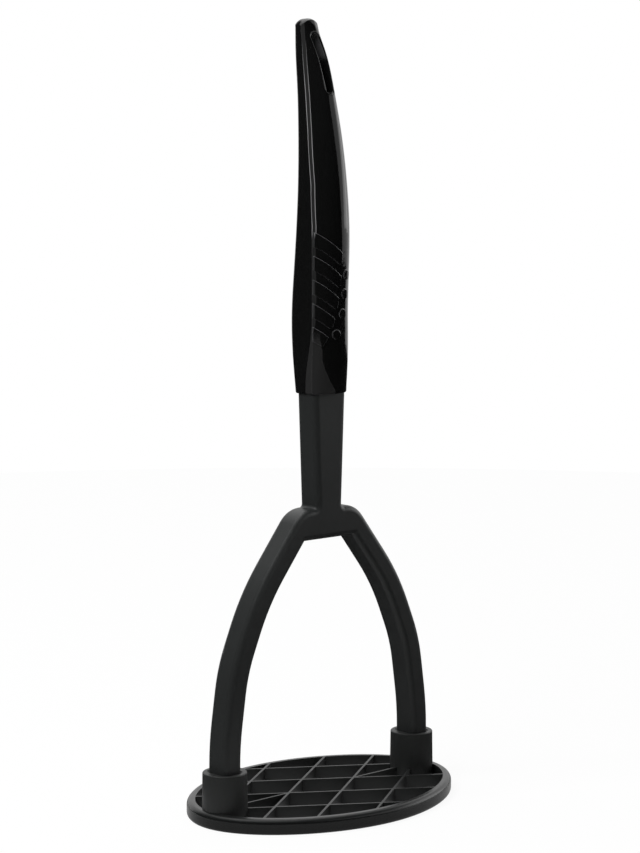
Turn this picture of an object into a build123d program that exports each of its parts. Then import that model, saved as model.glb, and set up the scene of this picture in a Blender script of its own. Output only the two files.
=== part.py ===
from build123d import *
from math import atan, atan2, cos, degrees, hypot, pi, radians, tan
import os

os.makedirs("parts", exist_ok=True)

# A hand potato masher of black moulded plastic. Millimetres, Z up, origin on the table under the
# middle of the plate. X runs along the oval, from arm to arm, and the front of the grip faces -Y.

# Mashing plate: oval rim, diamond grid and two sockets, one moulding
plate_length = 105.2
plate_width = 74.8
plate_height = 5.25
oval_share = 0.51
rim_wall = 3.0
rim_round = 1.7
rim_edge_round = 1.2
cell_length_share = 0.2852
cell_width_share = 0.2687
rib_wall = 0.8
rib_offsets_share = [-1.5, -0.5, 0.5, 1.5]
socket_inset = 9.3
socket_height = 17.6
socket_wall = 1.3
socket_flare = 0.25
socket_floor = 3.6
socket_lip = 0.7
socket_edge_round = 0.4
socket_clearance = 0.15
foot_gap = 0.3

# Yoke: tang, stem, shoulders and two bowed arms, one moulding
arm_width = 7.6
arm_depth = 9.5
arm_round = 2.0
arm_lean = 0.79
low_bend_rise = 8.8
low_bend_run = 7.4
middle_bend_rise = 24.7
middle_bend_run = 7.5
middle_bend_share = 0.272
high_bend_rise = 22.9
high_bend_run = 10.7
arch_rise = 17.7
arch_round = 2.5
bridge_depth = 10.5
shoulder_round = 10.5
shoulder_flat = 0.4
stem_root_width = 11.5
stem_top_width = 14.5
stem_root_round = 1.2
stem_length = 38.8
tang_width = 9.0
tang_depth = 4.8
tang_length = 38.0
tang_tip_chamfer = 1.2
tang_clearance = 0.15
tang_tip_gap = 0.3

# Handle: a loft through stations up the grip, rounded at the tip and hung by a slot there
handle_length = 125.2
handle_width = 16.7
handle_depth = 15.8
handle_base_round = 0.6
back_corner_round = 1.5
back_crown = 0.35
flank_crown = 0.2
strip_width = 0.9
nose_width_share = 0.5
nose_depth_share = 0.75
tip_radius_share = 0.258
tip_front_share = 0.205
tip_back_share = 0.646
tip_front_round = 3.7
tip_back_round = 1.8
slot_length = 20.3
slot_top_width = 3.3
slot_bottom_width = 2.4
slot_margin = 5.1
slot_round = 0.6

# Each station: height share, then half width, back, flank edge and front as shares of width or depth
handle_station_shares = [
    (0.000, 0.946, 0.329, -0.245, -0.443),
    (0.056, 0.968, 0.373, -0.262, -0.506),
    (0.112, 0.980, 0.415, -0.280, -0.546),
    (0.216, 0.976, 0.443, -0.275, -0.572),
    (0.328, 0.994, 0.364, -0.282, -0.622),
    (0.448, 1.000, 0.275, -0.283, -0.648),
    (0.560, 0.940, 0.259, -0.210, -0.620),
    (0.704, 0.820, 0.317, -0.039, -0.484),
    (0.818, 0.671, 0.434, 0.127, -0.293),
    (0.920, 0.569, 0.547, 0.272, -0.001),
    (0.968, 0.485, 0.600, 0.364, 0.225),
    (1.000, 0.470, 0.619, 0.420, 0.320),
]

# Relief on the front of the grip: slanted pads that end on a curve, and a stud beside four of them
relief = 0.35
pad_width = 3.65
pad_slope = 40.0
pad_pitch = 7.9
pad_count = 5
pad_reach_share = 0.485
pad_first_rise = 52.1
pad_round = 0.7
pad_end_shares = [
    (0.002, 0.440),
    (0.002, 0.350),
    (-0.022, 0.296),
    (-0.066, 0.240),
    (-0.150, 0.192),
    (-0.345, 0.130),
]
stud_diameter = 3.2
stud_shares = [(0.158, 0.320), (0.128, 0.269), (0.077, 0.216), (-0.075, 0.161)]

# Places that several pieces share
socket_reach = plate_length / 2 - socket_inset
low_bend_height = socket_height + low_bend_rise
middle_bend_height = low_bend_height + middle_bend_rise
high_bend_height = middle_bend_height + high_bend_rise
arch_height = high_bend_height + arch_rise
shoulder_height = arch_height + bridge_depth
seat_height = shoulder_height + stem_length
tip_height = seat_height + handle_length

# Outer and inner outline of the rim
ovals = []
for inset in (0, rim_wall):
    half_length = plate_length / 2 - inset
    half_width = plate_width / 2 - inset
    with BuildSketch() as oval:
        with BuildLine():
            Bezier(
                (half_length, 0),
                (half_length, oval_share * half_width),
                (oval_share * half_length, half_width),
                (0, half_width),
            )
            mirror(about=Plane.YZ)
            mirror(about=Plane.XZ)
        make_face()
    ovals.append(oval.sketch)

with BuildPart() as mashing_plate:
    cell_length = cell_length_share * plate_length
    cell_width = cell_width_share * plate_width
    rib_slope = degrees(atan2(cell_width, cell_length))
    rib_centres = [(share * cell_length / 2, share * cell_width / 2) for share in rib_offsets_share]
    spoke_length = socket_reach - cell_length / 2
    spoke_centre = cell_length / 2 + spoke_length / 2
    with BuildSketch():
        with Locations(*rib_centres):
            Rectangle(plate_length, rib_wall, rotation=-rib_slope)
        mirror(about=Plane.XZ)
        with Locations((spoke_centre, 0), (-spoke_centre, 0)):
            Rectangle(spoke_length, rib_wall)
        add(ovals[1], mode=Mode.INTERSECT)
        add(ovals[0] - ovals[1])
    extrude(amount=plate_height)
    fillet(mashing_plate.faces().sort_by(Axis.Z)[-1].outer_wire().edges(), radius=rim_round)
    fillet(mashing_plate.faces().sort_by(Axis.Z)[0].outer_wire().edges(), radius=rim_edge_round)

    # Sockets, wide enough to leave a wall round the corners of the bores
    bore_width = arm_width + 2 * socket_clearance
    bore_depth = arm_depth + 2 * socket_clearance
    bore_round = arm_round + socket_clearance
    bore_reach = bore_round + hypot(bore_width / 2 - bore_round, bore_depth / 2 - bore_round)
    socket_radius = bore_reach + socket_lip + socket_wall
    with Locations((socket_reach, 0), (-socket_reach, 0)):
        Cone(
            socket_radius + socket_flare,
            socket_radius,
            socket_height,
            align=(Align.CENTER, Align.CENTER, Align.MIN),
        )
    socket_tops = mashing_plate.faces().sort_by(Axis.Z)[-2:]
    fillet(socket_tops.edges(), radius=socket_edge_round)
    with BuildSketch(Plane.XY.offset(socket_floor)):
        with Locations((socket_reach, 0), (-socket_reach, 0)):
            RectangleRounded(bore_width, bore_depth, bore_round)
    extrude(amount=socket_height, mode=Mode.SUBTRACT)
    socket_tops = mashing_plate.faces().sort_by(Axis.Z)[-2:]
    mouths = [face.inner_wires()[0].edges() for face in socket_tops]
    chamfer(mouths, length=socket_lip)

with BuildPart() as yoke:
    foot_height = socket_floor + foot_gap
    lean_angle = atan(arm_lean)
    shoulder_reach = stem_root_width / 2 + stem_root_round + shoulder_flat
    corner_reach = shoulder_reach + shoulder_round * tan((pi / 2 - lean_angle) / 2)
    centre_reach = corner_reach - arm_width / 2 / cos(lean_angle)
    high_bend_reach = centre_reach + arm_lean * (shoulder_height - high_bend_height)
    middle_bend_reach = socket_reach - middle_bend_share * (socket_reach - high_bend_reach)
    crown_height = shoulder_height + centre_reach / arm_lean
    bridge_reach = arm_lean * (crown_height - arch_height)

    # Middle line of an arm, bent over a set run to each side of its three corners
    arm_line = [
        Vector(socket_reach, foot_height),
        Vector(socket_reach, low_bend_height),
        Vector(middle_bend_reach, middle_bend_height),
        Vector(high_bend_reach, high_bend_height),
        Vector(0, crown_height),
    ]
    bend_rounds = []
    for row, run in enumerate([low_bend_run, middle_bend_run, high_bend_run]):
        before, corner, after = arm_line[row : row + 3]
        turn = radians((corner - before).get_angle(after - corner))
        bend_rounds.append(run / tan(turn / 2))
    with BuildSketch(Plane.XZ) as fork:
        with BuildLine():
            FilletPolyline(*arm_line, radius=bend_rounds)
        trace(line_width=arm_width)
        mirror(about=Plane.YZ)
        with BuildLine():
            Polyline(
                (bridge_reach, arch_height),
                (0, crown_height),
                (-bridge_reach, arch_height),
                close=True,
            )
        make_face()
        with Locations((0, shoulder_height)):
            Rectangle(plate_length, plate_length, align=(Align.CENTER, Align.MIN), mode=Mode.SUBTRACT)
        corners = fork.vertices().group_by(Axis.Y)
        fillet(corners[-1], radius=shoulder_round)
        fillet(corners[-2], radius=arch_round)

        # Stem, widening towards the handle
        with BuildLine():
            Polyline(
                (-stem_root_width / 2, shoulder_height),
                (stem_root_width / 2, shoulder_height),
                (stem_top_width / 2, seat_height),
                (-stem_top_width / 2, seat_height),
                close=True,
            )
        make_face()
        shoulder_corners = fork.vertices().group_by(Axis.Y)[-2].sort_by(Axis.X)
        fillet(shoulder_corners[1:-1], radius=stem_root_round)
    extrude(amount=arm_depth / 2, both=True)
    outline_edges = yoke.faces().filter_by(Axis.Y).edges()
    long_edges = outline_edges.filter_by_position(Axis.Z, foot_height, seat_height, inclusive=(False, False))
    fillet(long_edges, radius=arm_round)

    # Tang, inside the handle when the masher is together
    with BuildSketch(Plane.XY.offset(seat_height)):
        Rectangle(tang_width, tang_depth)
    extrude(amount=tang_length)
    tang_tip = yoke.faces().sort_by(Axis.Z)[-1]
    chamfer(tang_tip.edges(), length=tang_tip_chamfer)

# Cross-sections of the handle from its seat up to the tip, and of a skin that stands clear of it
stations = []
skin_stations = []
for sections, growth in [(stations, 0), (skin_stations, relief)]:
    for height, half, back, edge, front in handle_station_shares:
        side = half * handle_width / 2 + growth
        back_y = back * handle_depth + growth
        edge_y = edge * handle_depth - growth / 2
        front_y = front * handle_depth - growth
        middle_y = (edge_y + back_y) / 2
        front_side = side - strip_width
        front_edge_y = edge_y - strip_width
        nose_y = front_edge_y - (front_edge_y - front_y) / nose_depth_share
        with BuildSketch(Plane.XY.offset(seat_height + height * handle_length)) as station:
            with BuildLine():
                Bezier(
                    (-front_side, front_edge_y),
                    (-nose_width_share * front_side, nose_y),
                    (nose_width_share * front_side, nose_y),
                    (front_side, front_edge_y),
                )
                Line((front_side, front_edge_y), (side, edge_y))
                ThreePointArc((side, edge_y), (side + flank_crown, middle_y), (side, back_y - back_crown))
                ThreePointArc((side, back_y - back_crown), (0, back_y), (-side, back_y - back_crown))
                ThreePointArc((-side, back_y - back_crown), (-side - flank_crown, middle_y), (-side, edge_y))
                Line((-side, edge_y), (-front_side, front_edge_y))
            make_face()
            back_corners = station.vertices().group_by(Axis.Y)[-1]
            fillet(back_corners, radius=back_corner_round)
        sections.append(station.sketch)

# Pads and studs on the front of the grip, cut to the skin
with BuildPart() as grip_relief:
    pad_reach = pad_reach_share * handle_width
    with BuildSketch(Plane.XZ) as outlines:
        for row in range(pad_count):
            with Locations((-handle_width / 2, seat_height + pad_first_rise - row * pad_pitch)):
                Rectangle(2 * handle_width, pad_width, rotation=-pad_slope)
        with BuildSketch(mode=Mode.INTERSECT):
            ends = [(across * handle_width, seat_height + up * handle_length) for across, up in pad_end_shares]
            with BuildLine():
                Spline(*ends)
                Polyline(
                    ends[-1],
                    (-pad_reach, ends[-1][1]),
                    (-pad_reach, ends[0][1]),
                    ends[0],
                )
            make_face()
        pad_end_corners = outlines.vertices().filter_by_position(Axis.X, -pad_reach / 2, pad_reach)
        fillet(pad_end_corners, radius=pad_round)
        for across, up in stud_shares:
            with Locations((across * handle_width, seat_height + up * handle_length)):
                Circle(stud_diameter / 2)
    extrude(amount=handle_depth)
    loft(skin_stations, mode=Mode.INTERSECT)

# The space that the tip fills: a thick disc with rounded edges, above everything lower down
with BuildPart() as tip_form:
    tip_radius = tip_radius_share * handle_width
    tip_front = tip_front_share * handle_depth
    tip_back = tip_back_share * handle_depth
    with BuildSketch(Plane.XZ.offset(-tip_back)):
        with Locations((0, tip_height - tip_radius)):
            Circle(tip_radius)
    extrude(amount=tip_back - tip_front)
    rims = tip_form.edges().filter_by(GeomType.CIRCLE).sort_by(Axis.Y)
    fillet(rims[0], radius=tip_front_round)
    fillet(rims[-1], radius=tip_back_round)
    with Locations((0, 0, tip_height - tip_radius)):
        Box(plate_length, plate_length, tip_height, align=(Align.CENTER, Align.CENTER, Align.MAX))

with BuildPart() as handle:
    loft(stations)
    base = handle.faces().sort_by(Axis.Z)[0]
    fillet(base.edges(), radius=handle_base_round)
    add(tip_form.part, mode=Mode.INTERSECT)
    add(grip_relief.part)

    # Hanging slot, wider at the top
    with BuildSketch(Plane.XZ):
        with Locations((0, tip_height - slot_margin - slot_top_width / 2)):
            Circle(slot_top_width / 2)
        with Locations((0, tip_height - slot_margin - slot_length + slot_bottom_width / 2)):
            Circle(slot_bottom_width / 2)
        make_hull()
    extrude(amount=handle_width, both=True, mode=Mode.SUBTRACT)
    slot_bottom = tip_height - slot_margin - slot_length
    slot_edges = handle.edges().filter_by_position(Axis.X, -slot_top_width / 2, slot_top_width / 2)
    slot_edges = slot_edges.filter_by_position(Axis.Z, slot_bottom, tip_height - slot_margin)
    fillet(slot_edges.filter_by(Axis.Y, reverse=True), radius=slot_round)

    # Blind pocket for the tang
    with BuildSketch(Plane.XY.offset(seat_height)):
        Rectangle(tang_width + 2 * tang_clearance, tang_depth + 2 * tang_clearance)
    extrude(amount=tang_length + tang_tip_gap, mode=Mode.SUBTRACT)

pieces = {"mashing_plate": mashing_plate, "yoke": yoke, "handle": handle}
for name, piece in pieces.items():
    piece.part.label = name
    export_step(piece.part, "parts/" + name + ".step")
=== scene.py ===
import math

import bmesh
import bpy
from mathutils import Matrix, Vector

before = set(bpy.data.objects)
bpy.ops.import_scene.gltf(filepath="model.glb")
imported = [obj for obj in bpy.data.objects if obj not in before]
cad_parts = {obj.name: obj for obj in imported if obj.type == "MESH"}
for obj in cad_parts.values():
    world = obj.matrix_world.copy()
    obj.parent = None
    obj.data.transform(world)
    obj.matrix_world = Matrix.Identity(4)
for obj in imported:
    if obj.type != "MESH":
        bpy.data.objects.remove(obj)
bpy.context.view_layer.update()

scene = bpy.context.scene

# Camera: a long lens at table height, 42 degrees left of the front, with the masher upright on the table.
# Its place and lens come from the oval of the plate and the repeating cells of its grid.
camera_turn = math.radians(-42.23)
camera_rise = math.radians(6.30)
camera_data = bpy.data.cameras.new("photo_camera")
camera = bpy.data.objects.new("photo_camera", camera_data)
scene.collection.objects.link(camera)
scene.camera = camera
camera_data.sensor_width = 36.0
camera_data.lens = 98.09
camera.location = (-0.52612, -0.57888, 0.21582)
camera_back = Vector(
    (
        math.sin(camera_turn) * math.cos(camera_rise),
        -math.cos(camera_turn) * math.cos(camera_rise),
        math.sin(camera_rise),
    )
)
camera.rotation_mode = "QUATERNION"
camera.rotation_quaternion = (-camera_back).to_track_quat("-Z", "Y")

# Table and backdrop: matte white card, one sheet lying flat and one standing well behind the masher.
# Whatever looks or mirrors sees card and room as paper white. Seen directly or mirrored, the table still takes a
# little of its tone from the lamps, which keeps the masher's shadow on it.
scene.view_settings.view_transform = "Standard"
card_segments = 96
table_radius = 0.9
backdrop_radius = 1.6
backdrop_height = 1.6
backdrop_foot = -0.02
backdrop_from = 0.9
card_colour = (0.8, 0.8, 0.8, 1.0)
paper_white = (1.0, 1.0, 1.0, 1.0)
room_dark = (0.02, 0.02, 0.02, 1.0)
paper_share = 0.93


class Wire:
    """A wire in a material. Sums on it add Math nodes, and node() adds any other kind of node."""

    def __init__(self, tree, socket=None):
        self.tree = tree
        self.socket = socket

    def node(self, kind, settings=None, links=None, output=0):
        made = self.tree.nodes.new("ShaderNode" + kind)
        for name, value in (settings or {}).items():
            if name == "stops":
                stops = made.color_ramp.elements
                for place, level in value[1:-1]:
                    stops.new(place)
                for stop, (place, level) in zip(stops, value):
                    stop.position = place
                    stop.color = (level, level, level, 1.0)
            else:
                setattr(made, name, value)
        for name, value in (links or {}).items():
            if isinstance(value, Wire):
                self.tree.links.new(value.socket, made.inputs[name])
            else:
                made.inputs[name].default_value = value
        return Wire(self.tree, made.outputs[output] if len(made.outputs) else None)

    def sum(self, operation, first, second=0.0):
        return self.node("Math", {"operation": operation}, {0: first, 1: second})

    def step(self, softness):
        return self.node("Math", {"operation": "MULTIPLY_ADD", "use_clamp": True}, {0: self, 1: 1 / softness, 2: 0.5})

    def __add__(self, other):
        return self.sum("ADD", self, other)

    def __sub__(self, other):
        return self.sum("SUBTRACT", self, other)

    def __rsub__(self, other):
        return self.sum("SUBTRACT", other, self)

    def __mul__(self, other):
        return self.sum("MULTIPLY", self, other)

    __radd__ = __add__
    __rmul__ = __mul__


def new_material(name):
    material = bpy.data.materials.new(name)
    material.use_nodes = True
    material.node_tree.nodes.clear()
    return material, Wire(material.node_tree)


def glowing(name, colour):
    material, wire = new_material(name)
    glow = wire.node("Emission", links={"Color": colour, "Strength": 1.0})
    wire.node("OutputMaterial", links={"Surface": glow})
    return material


def seen_or_mirrored(wire):
    camera_ray = wire.node("LightPath")
    glossy_ray = wire.node("LightPath", output=3)
    transmission_ray = wire.node("LightPath", output=6)
    return wire.sum("MAXIMUM", wire.sum("MAXIMUM", camera_ray, glossy_ray), transmission_ray)


def staged(name, sheet, material, only_mirrored=False):
    mesh = bpy.data.meshes.new(name)
    sheet.to_mesh(mesh)
    sheet.free()
    mesh.materials.append(material)
    made = bpy.data.objects.new(name, mesh)
    scene.collection.objects.link(made)
    made.visible_camera = not only_mirrored
    made.visible_diffuse = not only_mirrored
    made.visible_shadow = not only_mirrored


white_card, wire = new_material("white_card")
lit = wire.node("BsdfDiffuse", links={"Color": card_colour})
paper = wire.node("Emission", links={"Color": paper_white, "Strength": 1.0})
shown = wire.node("MixShader", links={0: paper_share * seen_or_mirrored(wire), 1: lit, 2: paper})
wire.node("OutputMaterial", links={"Surface": shown})
sheet = bmesh.new()
bmesh.ops.create_circle(sheet, cap_ends=True, segments=card_segments, radius=table_radius)
staged("table", sheet, white_card)

behind = -camera_back
behind.z = 0
behind.normalize()
sheet = bmesh.new()
bmesh.ops.create_circle(sheet, segments=card_segments, radius=backdrop_radius)
bmesh.ops.translate(sheet, verts=sheet.verts, vec=(0, 0, backdrop_foot))
raised = bmesh.ops.extrude_edge_only(sheet, edges=sheet.edges)["geom"]
top_edge = [part for part in raised if isinstance(part, bmesh.types.BMVert)]
bmesh.ops.translate(sheet, verts=top_edge, vec=(0, 0, backdrop_height))
in_front = [corner for corner in sheet.verts if corner.co.dot(behind) < backdrop_from]
bmesh.ops.delete(sheet, geom=in_front, context="VERTS")
staged("backdrop", sheet, glowing("white_wall", paper_white))

world = bpy.data.worlds.new("studio")
scene.world = world
world.use_nodes = True
world.node_tree.nodes.clear()
wire = Wire(world.node_tree)
room = wire.node("Background", links={"Color": room_dark, "Strength": 1.0})
white = wire.node("Background", links={"Color": paper_white, "Strength": 1.0})
shown = wire.node("MixShader", links={0: seen_or_mirrored(wire), 1: room, 2: white})
wire.node("OutputWorld", links={"Surface": shown})

# Cloth: black on the table round the plate and up round the camera's side of the room, with a window left open at
# the right. A photographer hangs it so that gloss black mirrors darkness, and here only mirrored rays meet it. A grey
# sheet under the plate is painted shade: it stands for the shadowed table beneath the plate in mirrored faces.
# Directions are degrees round the masher, from its front toward its right.
cloth_black = (0.02, 0.02, 0.02, 1.0)
# Painted shade colour for the sheet under the plate.
painted_shade_grey = (0.5, 0.5, 0.5, 1.0)
cloth_hole = 0.052
cloth_stretch = (1.35, 1.0, 1.0)
cloth_shift = (-0.01, -0.007, 0)
cloth_steps = 72
cloth_seam = 0.00001
under_height = 0.0002
table_height = 0.002
curtain_radius = 1.8
curtain_height = 2.9
window_top = 1.3
canopy_radius = 0.85
canopy_height = 3.4
full_turn = 360.0
curtain_from = -190.0
window_from = -10.0
window_to = 115.0
slant_place = (0, 0, 0.2)
slant_outward = (0.406, 0.321, 0.856)
black_cloth = glowing("black_cloth", cloth_black)
painted_shade_sheet = glowing("painted_shade_sheet", painted_shade_grey)
for name, near_edge, far_edge, first, turn, material in (
    # Painted shade: a grey sheet under the plate, seen only in mirrored faces, in place of the shadowed table.
    ("painted_shade_under_plate", (0.0, under_height), (cloth_hole, under_height), curtain_from, full_turn, painted_shade_sheet),
    ("table_cloth", (cloth_hole, table_height), (curtain_radius, table_height), curtain_from, full_turn, black_cloth),
    (
        "front_curtain",
        (curtain_radius, 0.0),
        (curtain_radius, curtain_height),
        curtain_from,
        window_from - curtain_from,
        black_cloth,
    ),
    (
        "right_curtain",
        (curtain_radius, 0.0),
        (curtain_radius, window_top),
        window_from,
        window_to - window_from,
        black_cloth,
    ),
    (
        "high_curtain",
        (curtain_radius, window_top),
        (canopy_radius, canopy_height),
        window_from,
        window_to - window_from,
        black_cloth,
    ),
):
    cloth = bmesh.new()
    hem = [cloth.verts.new((0, -reach, height)) for reach, height in (near_edge, far_edge)]
    cloth.edges.new(hem)
    bmesh.ops.rotate(cloth, verts=cloth.verts, matrix=Matrix.Rotation(math.radians(first), 3, "Z"))
    bmesh.ops.spin(
        cloth,
        geom=hem + cloth.edges[:],
        axis=(0, 0, 1),
        angle=math.radians(turn),
        steps=cloth_steps,
        cent=(0, 0, 0),
        dvec=(0, 0, 0),
        use_merge=turn == full_turn,
    )
    bmesh.ops.remove_doubles(cloth, verts=cloth.verts, dist=cloth_seam)
    if name == "right_curtain":
        bmesh.ops.bisect_plane(
            cloth,
            geom=cloth.verts[:] + cloth.edges[:] + cloth.faces[:],
            plane_co=slant_place,
            plane_no=slant_outward,
            clear_outer=True,
        )
    if turn == full_turn:
        bmesh.ops.scale(cloth, verts=cloth.verts, vec=cloth_stretch)
    if name == "table_cloth":
        bmesh.ops.translate(cloth, verts=cloth.verts, vec=cloth_shift)
    staged(name, cloth, material, only_mirrored=True)

# Lamps: one broad soft box overhead, a little behind the masher, and a smaller one high at its left, which is kept
# out of its mirrored faces. A weak one at the right is only mirrored, and draws the bright edge down the grip.
for name, place, aim, size, power, lights, mirrored in (
    ("overhead_soft_box", (0.1, 0.45, 1.25), (0.1, 0.45, 0.0), (1.8, 1.1), 9.5, True, True),
    ("left_soft_box", (-0.85, 0.0, 1.05), (0.0, 0.0, 0.1), (0.8, 0.5), 16.5, True, False),
    ("right_soft_box", (1.3, -0.35, 0.5), (0.0, 0.0, 0.25), (0.9, 0.7), 3.0, False, True),
):
    lamp_data = bpy.data.lights.new(name, "AREA")
    lamp_data.shape = "RECTANGLE"
    lamp_data.size, lamp_data.size_y = size
    lamp_data.energy = power
    lamp = bpy.data.objects.new(name, lamp_data)
    scene.collection.objects.link(lamp)
    lamp.location = place
    lamp.rotation_mode = "QUATERNION"
    lamp.rotation_quaternion = (Vector(aim) - lamp.location).to_track_quat("-Z", "Y")
    lamp.visible_diffuse = lights
    lamp.visible_glossy = mirrored

# Handle: black plastic moulded in a polished tool, so its faces mirror the room almost without blur.
# A satin line runs down each flank and widens into a satin patch above the left of the base. Two thin painted
# highlights run along the line's edges, the upward edges of the pads and studs carry painted highlights, and the
# upper inside wall of the slot is painted lighter as painted light. Sizes are in millimetres, in the masher's own
# frame.
mm_in_m = 1000.0
polished_black = (0.0036, 0.0037, 0.0037, 1.0)
satin_grey = (0.018, 0.018, 0.018, 1.0)
# Painted highlight colour for the two lines along the satin line's edges.
line_highlight_grey = (0.27, 0.27, 0.275, 1.0)
# Painted highlight colour for the upward edges of the pads and studs.
edge_highlight_grey = (0.13, 0.13, 0.135, 1.0)
# Painted light colour for the slot's inner wall.
slot_painted_light = (0.035, 0.035, 0.036, 1.0)
line_back = (
    (142.0, -0.9),
    (146.0, -1.15),
    (149.5, -1.65),
    (152.5, -2.3),
    (156.0, -3.0),
    (159.5, -3.6),
    (163.0, -4.05),
    (168.0, -4.35),
    (182.0, -4.46),
    (197.0, -4.47),
    (211.0, -3.3),
    (229.0, -0.62),
    (243.0, 2.0),
    (256.0, 4.3),
    (262.0, 5.75),
    (266.0, 6.64),
)
line_width = 0.95
line_blur = 0.15
patch_right = (
    (142.2, -0.13),
    (145.4, -2.57),
    (149.2, -4.61),
    (152.6, -5.65),
    (156.0, -5.73),
    (157.7, -6.27),
    (159.5, -6.6),
)
patch_top = 160.5
patch_fade = 4.0
# Painted highlights: two thin pale lines along the satin line's edges, fading in above the foot and out toward the
# top.
line_highlight_half_width = 0.075
line_highlight_insets = (0.08, 1.0)
line_highlight_foot, line_highlight_foot_fade = 194.0, 2.0
line_highlight_top, line_highlight_top_fade = 251.0, 16.0
# Painted highlight on bevelled edges that turn upward, on the pads and studs.
edge_highlight_from, edge_highlight_blur = 0.1, 0.16
edge_highlight_droop, edge_highlight_droop_blur = 0.27, 0.2
# Painted light: the upper part of the slot's inside wall is drawn lighter.
slot_half_width, slot_side_blur = 1.75, 0.1
slot_lit_from, slot_lit_fade = 253.0, 2.0
slot_top, slot_top_blur = 261.4, 0.5
polished_roughness = 0.05
haze_roughness = 0.06
satin_roughness = 0.3


def parts(vector):
    return [vector.node("SeparateXYZ", links={"Vector": vector}, output=axis) for axis in range(3)]


def noise(place, scale, detail):
    return place.node("TexNoise", links={"Vector": place, "Scale": scale, "Detail": detail})


def traced(height, points):
    base, top = points[0][0], points[-1][0]
    low = min(value for _, value in points)
    span = max(value for _, value in points) - low
    stops = [((z - base) / (top - base), (value - low) / span) for z, value in points]
    along = (height - base) * (1 / (top - base))
    return height.node("ValToRGB", {"stops": stops}, {"Fac": along}) * span + low


def mixed(share, under, over):
    return share.node("Mix", {"data_type": "RGBA"}, {"Factor": share, 6: under, 7: over}, output=2)


def dress(node_name, material, wire, colour, roughness, ior, normal):
    plastic = wire.node(
        "BsdfPrincipled",
        links={"Base Color": colour, "Roughness": roughness, "IOR": ior, "Normal": normal},
    )
    wire.node("OutputMaterial", links={"Surface": plastic})
    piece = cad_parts[node_name]
    piece.data.materials.clear()
    piece.data.materials.append(material)


gloss_black, wire = new_material("gloss_black")
place = wire.node("TexCoord", output=3)
across, depth, height = (part * mm_in_m for part in parts(place))
back = traced(height, line_back)
right = traced(height, patch_right)
behind_front = (back - depth).step(line_blur)
line = behind_front * (depth - back + line_width).step(line_blur)
patch = behind_front * (right - across).step(line_blur) * (patch_top - height).step(patch_fade)
satin = wire.sum("MAXIMUM", line, patch)
# Painted highlights along both edges of the satin line.
line_highlights = (
    (line_highlight_half_width - wire.sum("ABSOLUTE", depth - back + inset)).step(line_highlight_half_width) for inset in line_highlight_insets
)
line_highlight_height = (height - line_highlight_foot).step(line_highlight_foot_fade) * (line_highlight_top - height).step(line_highlight_top_fade)
painted_line_highlight = wire.sum("MAXIMUM", *line_highlights) * line_highlight_height
soft_edges = wire.node("Bevel", {"samples": 8}, {"Radius": 0.0003})
facing = wire.node("NewGeometry", output=1)
alike = wire.node("VectorMath", {"operation": "DOT_PRODUCT"}, {0: soft_edges, 1: facing}, output=1)
turned = wire.node("VectorMath", {"operation": "SUBTRACT"}, {0: soft_edges, 1: facing})
lifted = wire.node("SeparateXYZ", links={"Vector": turned}, output=2)
# Painted highlight where the bevel turns an edge's normal upward.
edge_highlight = (1.0 - edge_highlight_from - alike).step(edge_highlight_blur) * (lifted + edge_highlight_droop).step(edge_highlight_droop_blur)
# Painted light inside the upper part of the slot.
in_slot = (slot_half_width - wire.sum("ABSOLUTE", across)).step(slot_side_blur)
slot_height = (height - slot_lit_from).step(slot_lit_fade) * (slot_top - height).step(slot_top_blur)
black = polished_black
for share, tone in ((satin, satin_grey), (painted_line_highlight, line_highlight_grey), (edge_highlight, edge_highlight_grey), (in_slot * slot_height, slot_painted_light)):
    black = mixed(share, black, tone)
haze = noise(place, 260.0, 3.0)
waves = noise(place, 70.0, 1.0)
wavy = wire.node("Bump", links={"Height": waves, "Strength": 0.06, "Distance": 0.002, "Normal": soft_edges})
roughness = polished_roughness + haze_roughness * haze + satin_roughness * satin
dress("handle", gloss_black, wire, black, roughness, 1.40, wavy)

# Yoke: the same black plastic from a spark-eroded tool, which leaves a fine satin grain all over.
# It is pushed into the handle above and stands in the plate's sockets below.
yoke_black = (0.0168, 0.0181, 0.0180, 1.0)
yoke_roughness = 0.36
cloud_roughness = 0.14
grain_scale = 2600.0
grain_height = 0.0001
cloud_scale = 120.0
satin_black, wire = new_material("satin_black")
place = wire.node("TexCoord", output=3)
grain = noise(place, grain_scale, 2.0)
cloud = noise(place, cloud_scale, 3.0)
grainy = wire.node("Bump", links={"Height": grain, "Strength": 0.25, "Distance": grain_height})
dress("yoke", satin_black, wire, yoke_black, yoke_roughness + cloud_roughness * cloud, 1.46, grainy)

# Mashing plate: one moulding of the same plastic, satin on its ribs and sockets. The rim's outer wall was
# polished, so it shines like the handle, and its top a little less. Sizes are in metres.
rib_black = (0.0163, 0.0172, 0.0169, 1.0)
rim_black = (0.0055, 0.0059, 0.0058, 1.0)
rib_roughness = 0.38
rim_polish = 0.22
rim_across = 0.0496
rim_depth = 0.0344
rim_power = 1.88
rim_blur = 0.02
rim_top, rim_top_blur = 0.0058, 0.0002
wall_top, wall_top_blur = 0.0043, 0.0006
top_polish = 0.6
plate_black, wire = new_material("plate_black")
place = wire.node("TexCoord", output=3)
across, depth, height = parts(place)
bulge_across, bulge_depth = (
    wire.sum("POWER", wire.sum("ABSOLUTE", reach * (1 / half)), rim_power)
    for reach, half in ((across, rim_across), (depth, rim_depth))
)
polish = top_polish + (1.0 - top_polish) * (wall_top - height).step(wall_top_blur)
rim = (bulge_across + bulge_depth - 1.0).step(rim_blur) * (rim_top - height).step(rim_top_blur) * polish
grain = noise(place, grain_scale, 2.0)
cloud = noise(place, cloud_scale, 3.0)
grainy = wire.node("Bump", links={"Height": grain * (1.0 - rim), "Strength": 0.2, "Distance": grain_height})
roughness = rib_roughness + cloud_roughness * cloud - rim_polish * rim
dress("mashing_plate", plate_black, wire, mixed(rim, rib_black, rim_black), roughness, 1.37, grainy)
